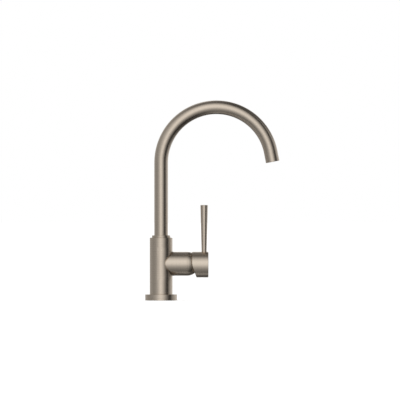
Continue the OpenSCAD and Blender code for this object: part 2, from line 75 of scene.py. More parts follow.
# ---- Base ring ----
# Turned brass foot that hides the hole in the deck. Its top edge is rounded and a fine
# seam runs round it, where the lower part was screwed on before brushing.
_, ring_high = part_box("base_ring")
ring_r = ring_high.x
ring_h = ring_high.z
ring_edge = 0.55 * mm
foot_edge = 0.3 * mm
seam_edge = 0.08 * mm
bore_edge = 0.25 * mm
ring_steps = 128
seam_z = 3.2 * mm
seam_w = 0.4 * mm
seam_deep = 0.35 * mm
body_seat = 3 * mm
body_seat_r = 20.1 * mm
shank_hole_r = 16.3 * mm
gasket_outer_r = 25.5 * mm
gasket_inner_r = 21.5 * mm
gasket_deep = 1.5 * mm
seal_outer_r = 18.9 * mm
seal_inner_r = 17.1 * mm
seal_deep = 1.2 * mm
sharp = math.radians(38)
weld = 0.001 * mm
noise_roughness = 0.6
middle_half = (0.25, 0.75)


def filleted(corners, steps=5):
    """Points of an outline of (along, across, fillet radius), with its corners rounded."""
    points = []
    for i, (along, across, radius) in enumerate(corners):
        here = Vector((along, across))
        if radius == 0:
            points.append(here)
            continue
        back = (Vector(corners[i - 1][:2]) - here).normalized()
        ahead = (Vector(corners[(i + 1) % len(corners)][:2]) - here).normalized()
        half = back.angle(ahead) / 2
        middle = here + (back + ahead).normalized() * radius / math.sin(half)
        first = here + back * radius / math.tan(half) - middle
        last = here + ahead * radius / math.tan(half) - middle
        turn = -first.angle_signed(last)
        points += [middle + Matrix.Rotation(turn * k / steps, 2) @ first
                   for k in range(steps + 1)]
    return points


def skin(build, rows, closed=True):
    """Adds quads between rows of (place, turns, run), and a map of turns and run."""
    brush = build.loops.layers.uv.get("brush") or build.loops.layers.uv.new("brush")
    verts = [[build.verts.new(place) for place, turns, run in row] for row in rows]
    for r in range(len(rows) - 1):
        count = len(rows[r])
        for c in range(count if closed else count - 1):
            after = (c + 1) % count
            corners = [(r, c), (r, after), (r + 1, after), (r + 1, c)]
            face = build.faces.new([verts[i][j] for i, j in corners])
            turns = [rows[i][j][1] for i, j in corners]
            for loop, (i, j), turn in zip(face.loops, corners, turns):
                lapped = turn + 1 if max(turns) - turn > 0.5 else turn
                loop[brush].uv = (lapped, rows[i][j][2])


def circle(middle, across, rise, radius, run, angles):
    """One row for skin(): a circle in the plane of two directions."""
    return [(middle + radius * (math.cos(a) * across + math.sin(a) * rise),
             a / math.tau, run) for a in angles]


def even_angles(steps):
    return [math.tau * k / steps for k in range(steps)]


def turned(outline, axis_at, steps=96):
    """Solid made by turning a closed outline of (along, radius) round an axis."""
    build = bmesh.new()
    rows = []
    run = 0
    last = outline[0]
    for point in list(outline) + [outline[0]]:
        run += (point - last).length
        last = point
        middle, across, rise = axis_at(point.x)
        rows.append(circle(middle, across, rise, point.y, run, even_angles(steps)))
    skin(build, rows)
    return build


def body_axis(along):
    return up * along, east, north


def make_piece(name, build, node, material):
    """Turns a mesh under construction into the piece that stands for a node."""
    bmesh.ops.remove_doubles(build, verts=build.verts, dist=weld)
    bmesh.ops.recalc_face_normals(build, faces=build.faces)
    for face in build.faces:
        face.smooth = True
    for edge in build.edges:
        edge.smooth = edge.calc_face_angle(0) < sharp
    mesh = bpy.data.meshes.new(name)
    build.to_mesh(mesh)
    build.free()
    mesh.materials.append(material)
    piece = bpy.data.objects.new(name, mesh)
    scene.collection.objects.link(piece)
    shading = piece.modifiers.new("even_shading", "WEIGHTED_NORMAL")
    shading.keep_sharp = True
    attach(piece, frame["nodes"][node]["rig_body"])
    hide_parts(node)
    return piece


def wire(tree, kind, values, **settings):
    """Adds a node with its settings, and fills its inputs with values or sockets."""
    node = tree.nodes.new(kind)
    for key, value in settings.items():
        setattr(node, key, value)
    for socket, value in values.items():
        if isinstance(value, bpy.types.NodeSocket):
            tree.links.new(value, node.inputs[socket])
        else:
            node.inputs[socket].default_value = value
    return node


def calc(tree, operation, *values):
    """Output of a Math node."""
    return wire(tree, "ShaderNodeMath", dict(enumerate(values)), operation=operation).outputs[0]


def vector(tree, x, y, z):
    return wire(tree, "ShaderNodeCombineXYZ", {"X": x, "Y": y, "Z": z}).outputs[0]


def noise(tree, place, detail):
    """Output of a Noise Texture, from 0 to 1, at scale 1."""
    values = {"Vector": place, "Scale": 1.0, "Detail": detail, "Roughness": noise_roughness}
    return wire(tree, "ShaderNodeTexNoise", values).outputs["Fac"]


def spread(tree, value, low, high):
    """Stretches a value's middle half to run from low to high."""
    values = {"Value": value, "From Min": middle_half[0], "From Max": middle_half[1],
              "To Min": low, "To Max": high}
    return wire(tree, "ShaderNodeMapRange", values).outputs[0]


def between_colours(tree, share, dark, light):
    """Colour that goes from dark to light over a value's middle half."""
    values = {0: spread(tree, share, 0, 1), 6: dark, 7: light}
    return wire(tree, "ShaderNodeMix", values, data_type="RGBA").outputs[2]


def relief(tree, height, strength, distance):
    """Normal from a height that changes over the surface."""
    values = {"Height": height, "Strength": strength, "Distance": distance}
    return wire(tree, "ShaderNodeBump", values).outputs[0]


def blended(tree, first, second, share):
    """Mix of two values: a share of the first, and the rest from the second."""
    return calc(tree, "MULTIPLY_ADD", first, share, calc(tree, "MULTIPLY", second, 1 - share))


def new_group(name, inputs, outputs):
    """Empty shader node group with named sockets."""
    tree = bpy.data.node_groups.new(name, "ShaderNodeTree")
    for socket, kind in inputs:
        tree.interface.new_socket(socket, in_out="INPUT", socket_type=kind)
    for socket in outputs:
        tree.interface.new_socket(socket, in_out="OUTPUT", socket_type="NodeSocketFloat")
    return tree, tree.nodes.new("NodeGroupInput").outputs, tree.nodes.new("NodeGroupOutput")


brush_coarse_scale = 0.22
brush_cloud_scale = 0.03


def brush_lines():
    """Group of fine lines round a piece, left by the brushing wheel."""
    tree, given, result = new_group(
        "brush_lines",
        [("Map", "NodeSocketVector"), ("Lines per metre", "NodeSocketFloat"),
         ("Lines round", "NodeSocketFloat")],
        ["Fine", "Coarse", "Cloud"])
    turns, run, _ = wire(tree, "ShaderNodeSeparateXYZ", {0: given["Map"]}).outputs
    angle = calc(tree, "MULTIPLY", turns, math.tau)
    cosine = calc(tree, "COSINE", angle)
    sine = calc(tree, "SINE", angle)
    along = calc(tree, "MULTIPLY", run, given["Lines per metre"])

    def layer(share, detail):
        round_scale = calc(tree, "MULTIPLY", given["Lines round"], share)
        return noise(tree, vector(tree, calc(tree, "MULTIPLY", cosine, round_scale),
                                  calc(tree, "MULTIPLY", sine, round_scale),
                                  calc(tree, "MULTIPLY", along, share)), detail)

    tree.links.new(layer(1.0, 2.0), result.inputs["Fine"])
    tree.links.new(layer(brush_coarse_scale, 3.0), result.inputs["Coarse"])
    tree.links.new(layer(brush_cloud_scale, 3.0), result.inputs["Cloud"])
    return tree


brushing = brush_lines()
nickel_dark = (0.625, 0.543, 0.452, 1)
nickel_light = (0.69, 0.6, 0.5, 1)
nickel_roughness = (0.25, 0.33)
nickel_anisotropy = 0.5
across_brushing = 0.25
lines_per_metre = 5000
lines_round = 1.6
brush_height = 0.0025 * mm
brush_strength = 0.5


def brushed_nickel(name):
    """Champagne nickel plate, brushed round the piece."""
    material = bpy.data.materials.new(name)
    material.use_nodes = True
    tree = material.node_tree
    shader = tree.nodes["Principled BSDF"]
    shader.inputs["Metallic"].default_value = 1
    shader.inputs["Anisotropic"].default_value = nickel_anisotropy
    shader.inputs["Anisotropic Rotation"].default_value = across_brushing
    place = wire(tree, "ShaderNodeUVMap", {}, uv_map="brush").outputs[0]
    tangent = wire(tree, "ShaderNodeTangent", {}, direction_type="UV_MAP", uv_map="brush")
    lines = wire(tree, "ShaderNodeGroup", {}, node_tree=brushing)
    tree.links.new(place, lines.inputs["Map"])
    lines.inputs["Lines per metre"].default_value = lines_per_metre
    lines.inputs["Lines round"].default_value = lines_round
    fine, coarse, cloud = lines.outputs
    streaks = blended(tree, fine, coarse, 0.5)
    shade = between_colours(tree, blended(tree, cloud, coarse, 0.5), nickel_dark, nickel_light)
    bump = relief(tree, streaks, brush_strength, brush_height)
    tree.links.new(shade, shader.inputs["Base Color"])
    tree.links.new(spread(tree, streaks, *nickel_roughness), shader.inputs["Roughness"])
    tree.links.new(bump, shader.inputs["Normal"])
    tree.links.new(tangent.outputs[0], shader.inputs["Tangent"])
    return material


nickel = brushed_nickel("champagne_nickel_brushed")
ring_outline = filleted([
    (0, ring_r, foot_edge),
    (seam_z, ring_r, seam_edge),
    (seam_z, ring_r - seam_deep, 0),
    (seam_z + seam_w, ring_r - seam_deep, 0),
    (seam_z + seam_w, ring_r, seam_edge),
    (ring_h, ring_r, ring_edge),
    (ring_h, body_seat_r, bore_edge),
    (ring_h - body_seat, body_seat_r, 0),
    (ring_h - body_seat, seal_outer_r, 0),
    (ring_h - body_seat - seal_deep, seal_outer_r, 0),
    (ring_h - body_seat - seal_deep, seal_inner_r, 0),
    (ring_h - body_seat, seal_inner_r, 0),
    (ring_h - body_seat, shank_hole_r, 0),
    (0, shank_hole_r, 0),
    (0, gasket_inner_r, 0),
    (gasket_deep, gasket_inner_r, 0),
    (gasket_deep, gasket_outer_r, 0),
    (0, gasket_outer_r, 0),
])
make_piece("brushed_base_ring", turned(ring_outline, body_axis, ring_steps), "base_ring",
           nickel)


# ---- Rubber seals and gaskets ----
# Moulded black rubber: the gasket under the base ring, the ring that keeps the body
# tight on it, the thick gasket under the deck, the port seals and the O-rings.
mould_cloud_scale = 0.06
mould_cloud_share = 0.7
mould_strength = 0.6


def moulding_grain():
    """Group of a moulded surface: fine grain, and slow changes of shade."""
    tree, given, result = new_group(
        "moulding_grain", [("Grains per metre", "NodeSocketFloat")],
        ["Grain", "Cloud"])
    place = wire(tree, "ShaderNodeTexCoord", {}).outputs["Object"]

    def layer(share, detail):
        scale = calc(tree, "MULTIPLY", given["Grains per metre"], share)
        scaled = wire(tree, "ShaderNodeVectorMath", {0: place, 3: scale}, operation="SCALE")
        return noise(tree, scaled.outputs[0], detail)

    tree.links.new(layer(1.0, 2.0), result.inputs["Grain"])
    tree.links.new(layer(mould_cloud_scale, 3.0), result.inputs["Cloud"])
    return tree


moulding = moulding_grain()


def moulded(name, dark, light, roughness, grains, grain_height, coat=0):
    """Moulded rubber, plastic or ceramic."""
    material = bpy.data.materials.new(name)
    material.use_nodes = True
    tree = material.node_tree
    shader = tree.nodes["Principled BSDF"]
    shader.inputs["Coat Weight"].default_value = coat
    surface = wire(tree, "ShaderNodeGroup", {}, node_tree=moulding)
    surface.inputs["Grains per metre"].default_value = grains
    grain, cloud = surface.outputs
    shade = between_colours(tree, blended(tree, cloud, grain, mould_cloud_share), dark, light)
    bump = relief(tree, grain, mould_strength, grain_height)
    tree.links.new(shade, shader.inputs["Base Color"])
    tree.links.new(spread(tree, grain, *roughness), shader.inputs["Roughness"])
    tree.links.new(bump, shader.inputs["Normal"])
    return material


def dress(material, *nodes):
    """Gives a material to CAD nodes that keep their own shape."""
    for node in nodes:
        mesh = frame["nodes"][node].data
        mesh.materials.clear()
        mesh.materials.append(material)


rubber = moulded("black_rubber_moulded", (0.012, 0.012, 0.012, 1), (0.028, 0.027, 0.026, 1),
                 (0.55, 0.75), 9000, 0.02 * mm)
dress(rubber, "base_gasket", "body_seal", "deck_gasket", "hot_port_seal", "cold_port_seal",
      "mixed_port_seal", "lower_spout_o_ring", "upper_spout_o_ring", "aerator_washer")


# ---- Shank, clamp washer and lock nut ----
# Hollow brass shank that goes through the deck, with the steel washer and the brass nut
# that clamp it from below. Their surfaces carry the marks of the lathe.
marks_per_metre = 3200
mark_height = 0.012 * mm
mark_strength = 0.6
stains_per_metre = 160
stain_share = 0.6


def lathe_marks():
    """Group of the rings that a lathe leaves, round a piece's own axis."""
    tree, given, result = new_group(
        "lathe_marks",
        [("Axis foot", "NodeSocketVector"), ("Axis tilt", "NodeSocketVector"),
         ("Marks per metre", "NodeSocketFloat")],
        ["Marks", "Stain"])
    place = wire(tree, "ShaderNodeTexCoord", {}).outputs["Object"]
    own = wire(tree, "ShaderNodeMapping", {"Vector": place, "Location": given["Axis foot"],
                                           "Rotation": given["Axis tilt"]},
               vector_type="TEXTURE").outputs[0]
    x, y, z = wire(tree, "ShaderNodeSeparateXYZ", {0: own}).outputs
    radius = calc(tree, "SQRT", calc(tree, "MULTIPLY_ADD", x, x, calc(tree, "MULTIPLY", y, y)))
    marks = vector(tree, calc(tree, "MULTIPLY", radius, given["Marks per metre"]), 0.0,
                   calc(tree, "MULTIPLY", z, given["Marks per metre"]))
    stain = wire(tree, "ShaderNodeVectorMath", {0: own, 3: stains_per_metre},
                 operation="SCALE").outputs[0]
    tree.links.new(noise(tree, marks, 3.0), result.inputs["Marks"])
    tree.links.new(noise(tree, stain, 4.0), result.inputs["Stain"])
    return tree


lathe = lathe_marks()
level = Vector((0, 0, 0))


def turned_metal(name, dark, light, roughness, foot=level, tilt=level):
    """Bare metal, turned on a lathe and slightly tarnished."""
    material = bpy.data.materials.new(name)
    material.use_nodes = True
    tree = material.node_tree
    shader = tree.nodes["Principled BSDF"]
    shader.inputs["Metallic"].default_value = 1
    surface = wire(tree, "ShaderNodeGroup", {}, node_tree=lathe)
    surface.inputs["Axis foot"].default_value = foot
    surface.inputs["Axis tilt"].default_value = tilt
    surface.inputs["Marks per metre"].default_value = marks_per_metre
    marks, stain = surface.outputs
    mottle = blended(tree, stain, marks, stain_share)
    bump = relief(tree, marks, mark_strength, mark_height)
    tree.links.new(between_colours(tree, mottle, dark, light), shader.inputs["Base Color"])
    tree.links.new(spread(tree, mottle, *roughness), shader.inputs["Roughness"])
    tree.links.new(bump, shader.inputs["Normal"])
    return material


brass_dark = (0.50, 0.31, 0.10, 1)
brass_light = (0.72, 0.50, 0.20, 1)
steel_dark = (0.40, 0.40, 0.41, 1)
steel_light = (0.58, 0.58, 0.59, 1)
brass_roughness = (0.24, 0.42)
steel_roughness = (0.26, 0.42)
brass = turned_metal("brass_turned", brass_dark, brass_light, brass_roughness)
steel = turned_metal("steel_turned", steel_dark, steel_light, steel_roughness)
dress(steel, "clamp_washer")
shank_low, shank_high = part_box("mounting_shank")
shank_r = shank_high.x
hose_way_r = 13.5 * mm
thread_pitch = 1.5 * mm
thread_deep = 0.8 * mm
thread_flat = 0.12
thread_rows = 8
thread_sides = 72
nut_low, nut_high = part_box("lock_nut")
nut_half_flat = nut_high.x * math.cos(math.pi / 6)
nut_face_r = nut_half_flat - 0.3 * mm
nut_sides = 72
nut_bore_r = 16.2 * mm
nut_mouth = 0.6 * mm
nut_bevel = math.tan(math.radians(30))


def thread_row(step):
    """Row for skin(): one turn of the helix at a step of the thread's profile."""
    from_crest = abs(2 * (step / thread_rows % 1) - 1)
    share = min(max((from_crest - thread_flat) / (1 - 2 * thread_flat), 0), 1)
    row = []
    for k in range(thread_sides + 1):
        z = shank_low.z + (step / thread_rows + k / thread_sides) * thread_pitch
        z = min(max(z, shank_low.z), shank_high.z)
        from_end = min(z - shank_low.z, shank_high.z - z)
        radius = min(shank_r - share * thread_deep, shank_r - thread_deep + from_end)
        angle = math.tau * k / thread_sides
        place = Vector((radius * math.cos(angle), radius * math.sin(angle), z))
        row.append((place, k / thread_sides, z))
    return row


def shank_mesh():
    build = bmesh.new()
    last_step = math.ceil((shank_high.z - shank_low.z) / thread_pitch) * thread_rows
    skin(build, [thread_row(step) for step in range(-thread_rows, last_step + 1)], closed=False)
    inside = [(shank_low.z, shank_r - thread_deep), (shank_low.z, hose_way_r),
              (shank_high.z, hose_way_r), (shank_high.z, shank_r - thread_deep)]
    skin(build, [circle(up * z, east, north, radius, z, even_angles(thread_sides))
                 for z, radius in inside])
    return build


def nut_mesh():
    """Hexagon with its corners bevelled on the lathe, at both faces."""
    angles = even_angles(nut_sides)
    sixth = math.pi / 3
    reach = [nut_half_flat / math.cos(angle % sixth - sixth / 2) for angle in angles]
    bevel = [(radius - nut_face_r) * nut_bevel for radius in reach]
    rows = []
    for face_z, inward in ((nut_low.z, 1), (nut_high.z, -1)):
        half = [circle(up * (face_z + inward * nut_mouth), east, north, nut_bore_r, 0, angles),
                circle(up * face_z, east, north, nut_bore_r + nut_mouth, 0, angles),
                circle(up * face_z, east, north, nut_face_r, 0, angles),
                [(Vector((r * math.cos(a), r * math.sin(a), face_z + inward * fall)),
                  a / math.tau, 0) for a, r, fall in zip(angles, reach, bevel)]]
        rows += half if inward == 1 else half[::-1]
    build = bmesh.new()
    skin(build, rows + rows[:1])
    return build


make_piece("threaded_shank", shank_mesh(), "mounting_shank", brass)
make_piece("bevelled_lock_nut", nut_mesh(), "lock_nut", brass)


# ---- Valve body ----
# One brass casting, machined and brushed: the column, and the branch that holds the
# valve. The branch runs into the column over a small cast fillet.
body_low, body_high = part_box("valve_body")
column_r = -body_low.x
column_foot = body_low.z
column_top = body_high.z
column_edge = 0.35 * mm
branch_r = body_high.y
branch_end = body_high.x
branch_edge = 0.2 * mm
branch_lip = 1 * mm
branch_rows = 4
thread_edge = 0.2 * mm
shank_bore_r = 16.05 * mm
shank_deep = 14 * mm
gland_r = 14.55 * mm
gland_deep = 12.5 * mm
socket_r = 10.7 * mm
socket_deep = 17 * mm
chamber_r = 17.7 * mm
chamber_x = 18.5 * mm
bonnet_r = 19 * mm
bonnet_deep = 6 * mm
inlet_r = 4.5 * mm
inlet_y = 8.5 * mm
inlet_deep = 12 * mm
saddle_out = 2.3 * mm
saddle_rise = 1.2 * mm
fillet_across = 18.9 * mm
fillet_rise = 20.2 * mm
branch_pull = 0.14
column_pull = 0.5
fillet_steps = 8
patch_steps = 88
patch_rows = 20
patch_rise = 30 * mm
column_steps = 144
patch_turn = math.pi * patch_steps / column_steps
patch_turn_share = 1.4
patch_rings = 8
patch_ease = 1.6
drill_start = 1 * mm


def column_point(turn, z):
    """Row entry for a point on the column's surface."""
    return (Vector((column_r * math.cos(turn), column_r * math.sin(turn), z)),
            turn / math.tau, z)


def patch_border():
    """Turn and height of the points round the part of the column that has the branch."""
    turns = [patch_turn * (2 * k / patch_steps - 1) for k in range(patch_steps + 1)]
    rises = [patch_rise * (2 * k / patch_rows - 1) for k in range(patch_rows + 1)]
    return ([(turn, -patch_rise) for turn in turns[:-1]]
            + [(patch_turn, rise) for rise in rises[:-1]]
            + [(turn, patch_rise) for turn in turns[:0:-1]]
            + [(-patch_turn, rise) for rise in rises[:0:-1]])


def fillet_curve(angle):
    """Points from the branch, at an angle round it, over the fillet to the column."""
    across = math.cos(angle)
    rise = math.sin(angle)
    reach = column_r + saddle_out + saddle_rise * rise * rise
    start = Vector((math.sqrt(reach ** 2 - (branch_r * across) ** 2), branch_r * across,
                    branch_r * rise))
    low_y = fillet_across * across
    end = Vector((math.sqrt(column_r ** 2 - low_y ** 2), low_y, fillet_rise * rise))
    outward = Vector((end.x, end.y, 0)).normalized()
    span = (start - end).length
    rising = ((start - end) - outward * (start - end).dot(outward)).normalized()
    handles = [start, start - east * span * branch_pull, end + rising * span * column_pull, end]
    points = []
    for k in range(fillet_steps + 1):
        t = k / fillet_steps
        weights = [(1 - t) ** 3, 3 * t * (1 - t) ** 2, 3 * t * t * (1 - t), t ** 3]
        points.append(sum((w * p for w, p in zip(weights, handles)), Vector()) + up * branch_z)
    return points


def branch_skin(build, border):
    """Chamber, end face and outside of the branch, and the fillet at its root."""
    angles = [math.atan2(rise / fillet_rise, turn / patch_turn_share)
              for turn, rise in border]
    chamber = filleted([
        (chamber_x, 0, 0),
        (chamber_x, chamber_r, 0),
        (branch_end - bonnet_deep, chamber_r, 0),
        (branch_end - bonnet_deep, bonnet_r, 0),
        (branch_end, bonnet_r, branch_edge),
        (branch_end, branch_r, branch_edge),
        (branch_end - branch_lip, branch_r, 0),
    ])
    rows = [circle(Vector((point.x, 0, branch_z)), north, up, point.y, point.x, angles)
            for point in chamber]
    curves = [fillet_curve(angle) for angle in angles]
    outer = rows[-1]
    for step in range(1, branch_rows):
        places = [outer[k][0].lerp(curves[k][0], step / branch_rows) for k in range(len(angles))]
        rows.append([(place, entry[1], place.x) for place, entry in zip(places, outer)])
    for step in range(fillet_steps + 1):
        rows.append([(curves[k][step], outer[k][1],
                      curves[k][0].x - (curves[k][step] - curves[k][0]).length)
                     for k in range(len(angles))])
    skin(build, rows)
    return [curve[-1] for curve in curves]


def patch_skin(build, border, hole):
    """Column's surface between the fillet and the patch's border."""
    rows = []
    for ring in range(patch_rings + 1):
        share = (ring / patch_rings) ** patch_ease
        row = []
        for (turn, rise), inner in zip(border, hole):
            inner_turn = math.asin(inner.y / column_r)
            row.append(column_point(inner_turn + (turn - inner_turn) * share,
                                    inner.z + (branch_z + rise - inner.z) * share))
        rows.append(row)
    skin(build, rows)


def column_skin(build):
    """The rest of the column, with the bores for the shank and the spout."""
    turns = [patch_turn * (2 * k / patch_steps - 1) for k in range(column_steps)]
    foot = filleted([
        (column_foot + shank_deep, 0, 0),
        (column_foot + shank_deep, shank_bore_r, 0),
        (column_foot, shank_bore_r, thread_edge),
        (column_foot, column_r, foot_edge),
        (branch_z - patch_rise, column_r, 0),
    ])
    head = filleted([
        (branch_z + patch_rise, column_r, 0),
        (column_top, column_r, column_edge),
        (column_top, gland_r, thread_edge),
        (column_top - gland_deep, gland_r, 0),
        (column_top - gland_deep, socket_r, 0),
        (column_top - gland_deep - socket_deep, socket_r, 0),
        (column_top - gland_deep - socket_deep, 0, 0),
    ])
    for outline in (foot, head):
        skin(build, [circle(up * point.x, east, north, point.y, point.x, turns)
                     for point in outline])
    back = turns[patch_steps:] + [patch_turn * 2 * column_steps / patch_steps - patch_turn]
    rises = [patch_rise * (2 * k / patch_rows - 1) for k in range(patch_rows + 1)]
    skin(build, [[column_point(turn, branch_z + rise) for turn in back] for rise in rises],
         closed=False)


def drill(build, foot, direction, radius, depth, steps=48):
    """Cuts a round hole into a mesh under construction."""
    bmesh.ops.remove_doubles(build, verts=build.verts, dist=weld)
    bmesh.ops.recalc_face_normals(build, faces=build.faces)
    across = direction.orthogonal().normalized()
    corners = ((-drill_start, 0), (-drill_start, radius), (depth, radius), (depth, 0))
    outline = [Vector(point) for point in corners]
    bit = turned(outline, lambda along: (foot + direction * along, across,
                                         direction.cross(across)), steps)
    bmesh.ops.remove_doubles(bit, verts=bit.verts, dist=weld)
    bmesh.ops.recalc_face_normals(bit, faces=bit.faces)
    parts = []
    for label, part in (("stock", build), ("bit", bit)):
        mesh = bpy.data.meshes.new(label)
        part.to_mesh(mesh)
        part.free()
        parts.append(bpy.data.objects.new(label, mesh))
        scene.collection.objects.link(parts[-1])
    cut = parts[0].modifiers.new("cut", "BOOLEAN")
    cut.object = parts[1]
    cut.solver = "EXACT"
    shaped = parts[0].evaluated_get(bpy.context.evaluated_depsgraph_get())
    result = bmesh.new()
    result.from_mesh(shaped.to_mesh())
    for part in parts:
        bpy.data.objects.remove(part)
    return result


body_mesh = bmesh.new()
border = patch_border()
patch_skin(body_mesh, border, branch_skin(body_mesh, border))
column_skin(body_mesh)
for side in (-1, 1):
    inlet_foot = Vector((0, side * inlet_y, column_foot + shank_deep))
    body_mesh = drill(body_mesh, inlet_foot, up, inlet_r, inlet_deep)
make_piece("brushed_valve_body", body_mesh, "valve_body", nickel)


# ---- Ceramic disc cartridge ----
# The 35 mm cartridge inside the branch: moulded base, housing and stem carrier, two
# lapped ceramic discs, the disc driver, the steel pivot pin and the brass stem.
white_plastic = moulded("white_plastic_moulded", (0.62, 0.61, 0.57, 1), (0.72, 0.71, 0.67, 1),
                        (0.34, 0.48), 6000, 0.01 * mm)
ceramic = moulded("ceramic_lapped", (0.76, 0.74, 0.68, 1), (0.84, 0.82, 0.77, 1),
                  (0.08, 0.16), 12000, 0.001 * mm, coat=0.3)
branch_foot = Vector((0, 0, branch_z))
branch_tilt = Vector((0, math.pi / 2, 0))
stem_brass = turned_metal("brass_turned_along_branch", brass_dark, brass_light,
                          brass_roughness, branch_foot, branch_tilt)
dress(white_plastic, "cartridge_base", "cartridge_housing", "stem_carrier", "disc_driver",
      "lower_slip_washer", "upper_slip_washer", "diffuser_disc")
dress(ceramic, "fixed_disc", "moving_disc")
dress(stem_brass, "valve_stem", "retaining_nut")
dress(steel, "pivot_pin")


# ---- Dome cap ----
# Thin turned shell that closes the end of the branch and lets the neck of the cartridge
# through. The hood swings round it.
dome_r = branch_r
dome_wall = 1.5 * mm
mouth_r = 13.5 * mm
skirt_len = 3 * mm
skirt_bore_r = 17.6 * mm
skirt_edge = 0.15 * mm
shoulder_share = 0.9999
dome_steps = 28


def dome_arc(radius, start, end):
    """Outline points on a sphere round the pivot, from one radius off the axis to another."""
    first = math.asin(start / radius)
    last = math.asin(end / radius)
    angles = [first + (last - first) * k / dome_steps for k in range(dome_steps + 1)]
    return [Vector((radius * math.cos(a), radius * math.sin(a))) for a in angles]


def pivot_axis(along):
    return pivot + east * along, north, up


dome_inner = dome_r - dome_wall
skirt_meets = math.sqrt(dome_inner ** 2 - skirt_len ** 2)
dome_outline = (
    filleted([(skirt_len, skirt_bore_r, 0), (0, skirt_bore_r, skirt_edge),
              (0, dome_r, branch_edge), (branch_edge, dome_r, 0)])[:-1]
    + dome_arc(dome_r, dome_r * shoulder_share, mouth_r)
    + dome_arc(dome_inner, mouth_r, skirt_meets))
make_piece("brushed_dome_cap", turned(dome_outline, pivot_axis, ring_steps), "dome_cap",
           nickel)


# ---- Handle hood ----
# Cast cup over the dome, brushed outside. The upper half of its rim is upright and the
# lower half is cut back on a slant, and a plug under it covers the set screw.
hood_low, hood_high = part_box("handle_hood")
hood_r = hood_high.y
hood_z = hood_high.z - hood_r
hood_x = hood_low.x
hood_end = hood_high.x
hood_edge = 0.8 * mm
hood_bore_r = 19.85 * mm
hood_floor = 67.05 * mm
rim_z = branch_z - 2 * mm
rim_slant = math.radians(19.5)
rim_ease = 2 * mm
rim_edge = 0.4 * mm
rim_steps = 4
rim_run = 0.1 * mm
rim_outer_run = 1 * mm
hood_corner = 1 * mm
hood_corner_flat = 3 * mm
hood_inner_shares = (0.66, 0.33, 0)
hood_inner_run = 10 * mm
hood_outer_rows = 13
hood_sides = 144
hood_angles = even_angles(hood_sides)
plug_low, plug_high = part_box("screw_plug")
plug_x = (plug_low.x + plug_high.x) / 2
plug_hole_r = (plug_high.x - plug_low.x) / 2 + 0.05 * mm
plug_hole_deep = 3 * mm


def rim_x(z):
    """Where the rim stands at a height: upright above, and slanting below rim_z."""
    fall = rim_z - z
    return hood_x + (fall + math.hypot(fall, rim_ease)) / 2 * math.tan(rim_slant)


def hood_row(radius, middle_z, x_at, run):
    row = []
    for angle in hood_angles:
        place = Vector((0, radius * math.cos(angle), middle_z + radius * math.sin(angle)))
        place.x = x_at(place.z)
        row.append((place, angle / math.tau, run))
    return row


def between(start, share):
    """Place of a row that lies part of the way from the rim to a flat end."""
    return lambda z: rim_x(z) + rim_edge + (start - rim_x(z) - rim_edge) * share


def hood_mesh():
    rows = [hood_row(0, branch_z, lambda z: hood_floor, hood_floor - hood_bore_r)]
    corner = filleted([(hood_floor, hood_bore_r - hood_corner_flat, 0),
                       (hood_floor, hood_bore_r, hood_corner), (hood_x, hood_bore_r, 0)])[:-1]
    rows += [hood_row(p.y, branch_z, lambda z, x=p.x: x, p.x) for p in corner]
    for share in hood_inner_shares:
        rows.append(hood_row(hood_bore_r, branch_z, between(hood_floor - hood_corner, share),
                             hood_x + share * hood_inner_run))
    for k in range(1, rim_steps + 1):
        turn = math.pi / 2 * k / rim_steps
        rows.append(hood_row(hood_bore_r + rim_edge * (1 - math.cos(turn)), branch_z,
                             lambda z, t=turn: rim_x(z) + rim_edge * (1 - math.sin(t)),
                             hood_x - k * rim_run))
    for k in range(rim_steps + 1):
        turn = math.pi / 2 * k / rim_steps
        rows.append(hood_row(hood_r - rim_edge * (1 - math.sin(turn)), hood_z,
                             lambda z, t=turn: rim_x(z) + rim_edge * (1 - math.cos(t)),
                             hood_x - rim_outer_run + k * rim_run))
    for k in range(1, hood_outer_rows):
        share = k / hood_outer_rows
        rows.append(hood_row(hood_r, hood_z, between(hood_end - hood_edge, share),
                             hood_x + share * (hood_end - hood_x)))
    end = filleted([(hood_x, hood_r, 0), (hood_end, hood_r, hood_edge), (hood_end, 0, 0)])[1:]
    rows += [hood_row(p.y, hood_z, lambda z, x=p.x: x, hood_end + hood_r - p.y) for p in end]
    build = bmesh.new()
    skin(build, rows)
    return drill(build, Vector((plug_x, 0, hood_low.z)), up, plug_hole_r, plug_hole_deep)


make_piece("brushed_handle_hood", hood_mesh(), "handle_hood", nickel)


# ---- Lever pin ----
# Turned brass pin, widest at its flat top and brushed round. The stud at its foot screws
# into the top of the hood.
lever_low, lever_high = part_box("lever_pin")
lever_x = (lever_low.x + lever_high.x) / 2
lever_top = lever_high.z
lever_tip_r = (lever_high.x - lever_low.x) / 2
lever_root_r = 4.5 * mm
lever_seat = 2.5 * mm
lever_edge = 0.7 * mm
root_edge = 0.1 * mm
stud_r = 3 * mm
stud_edge = 0.5 * mm
seat_z = hood_high.z - lever_seat


def lever_axis(along):
    return Vector((lever_x, 0, along)), east, north


lever_outline = filleted([
    (lever_low.z, 0, 0),
    (lever_low.z, stud_r, stud_edge),
    (seat_z, stud_r, 0),
    (seat_z, lever_root_r, root_edge),
    (hood_high.z, lever_root_r, 0),
    (lever_top, lever_tip_r, lever_edge),
    (lever_top, 0, 0),
])
make_piece("brushed_lever_pin", turned(lever_outline, lever_axis), "lever_pin", nickel)


# ---- Set screw and its plug ----
# Steel grub screw that clamps the hood on the stem from below. A small grey plastic plug
# is pressed in over it and hides the hole.
grey_plastic = moulded("grey_plastic_moulded", (0.22, 0.205, 0.18, 1), (0.29, 0.27, 0.24, 1),
                       (0.4, 0.55), 8000, 0.01 * mm)
dress(steel, "set_screw")
dress(grey_plastic, "screw_plug", "aerator_housing")


